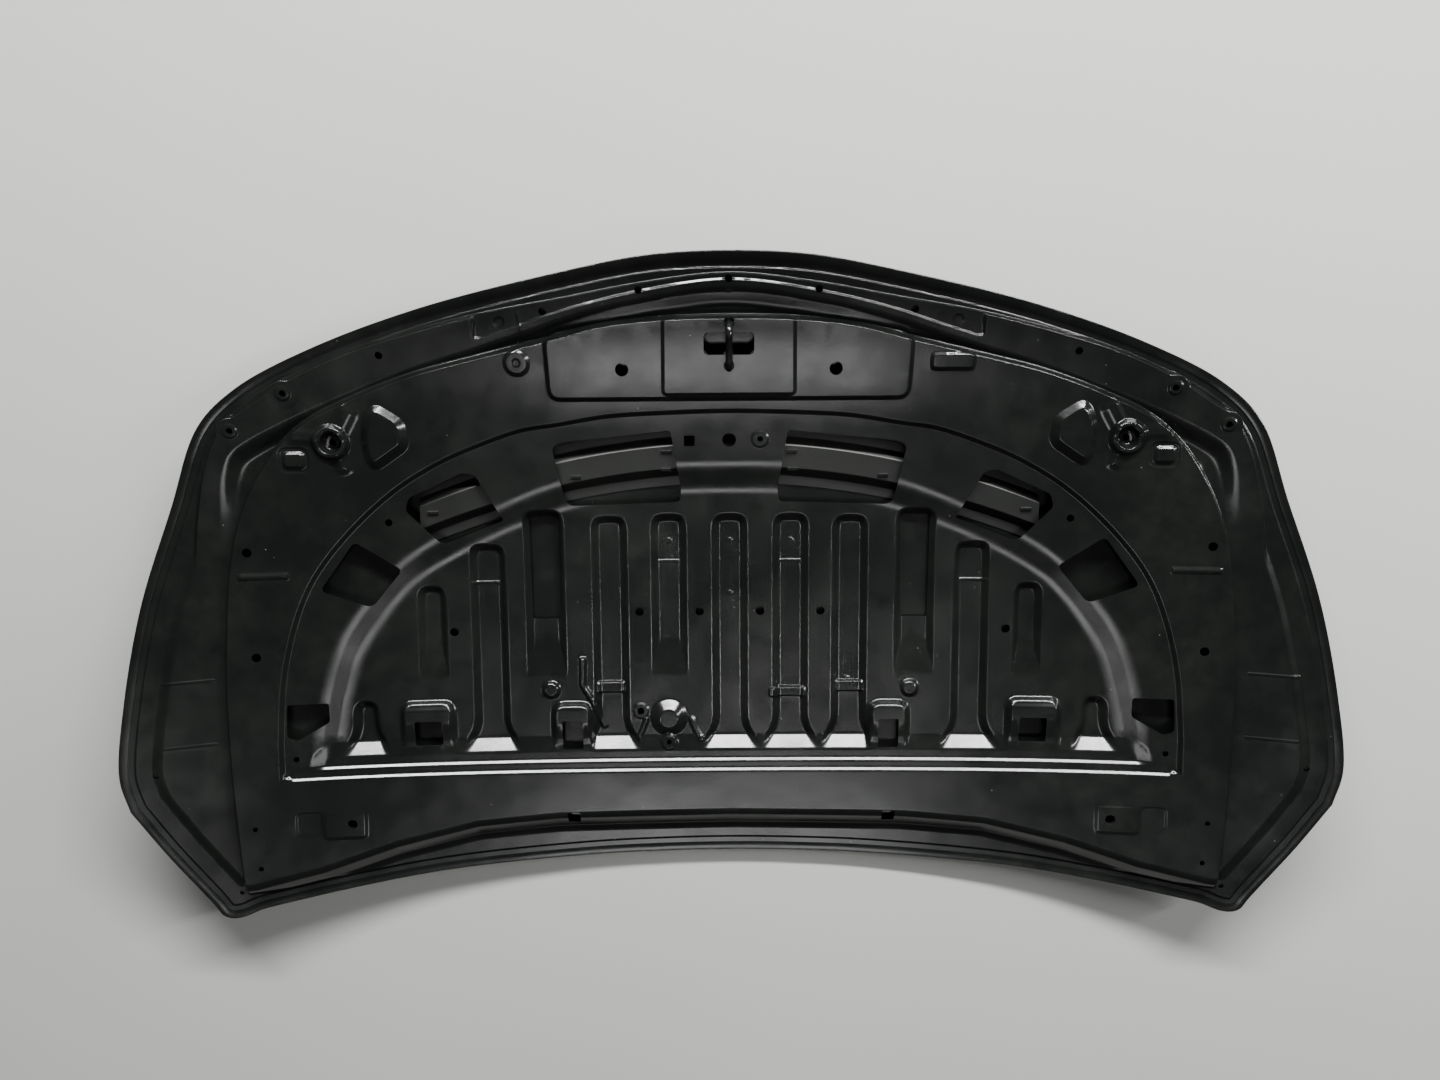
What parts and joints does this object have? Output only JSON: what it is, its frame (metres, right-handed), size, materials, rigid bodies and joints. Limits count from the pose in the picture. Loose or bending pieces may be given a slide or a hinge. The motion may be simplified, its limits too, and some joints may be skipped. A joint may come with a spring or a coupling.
{
  "type": "car bonnet",
  "caption": "Pressed steel car bonnet with a hemmed skin, a ribbed inner panel and a wire latch striker.",
  "frame": {"origin": "middle of the footprint, at the lowest point of the outer skin", "axes": "+X to the right of the picture and across the car, +Y to the nose, +Z out of the underside"},
  "size_m": [1.5062, 0.8226, 0.1006],
  "materials": {
    "black_primer": "semi-gloss black electro-coat",
    "mastic": "matt cured mastic"
  },
  "bodies": {
    "root": {"outer_panel": "black_primer", "inner_panel": "black_primer", "striker": "black_primer", "striker_plate": "black_primer", "front_brace": "black_primer", "hinge_plate_left": "black_primer", "hinge_plate_right": "black_primer", "stop_nut_left_1": "black_primer", "stop_nut_left_2": "black_primer", "stop_nut_right_1": "black_primer", "stop_nut_right_2": "black_primer", "hinge_nut_left": "black_primer", "hinge_nut_right": "black_primer", "mastic_pad_1": "mastic", "mastic_pad_2": "mastic", "mastic_pad_3": "mastic", "mastic_pad_4": "mastic", "mastic_pad_5": "mastic", "mastic_pad_6": "mastic", "mastic_pad_7": "mastic", "mastic_pad_8": "mastic", "mastic_pad_9": "mastic", "mastic_pad_10": "mastic"}
  },
  "joints": []
}
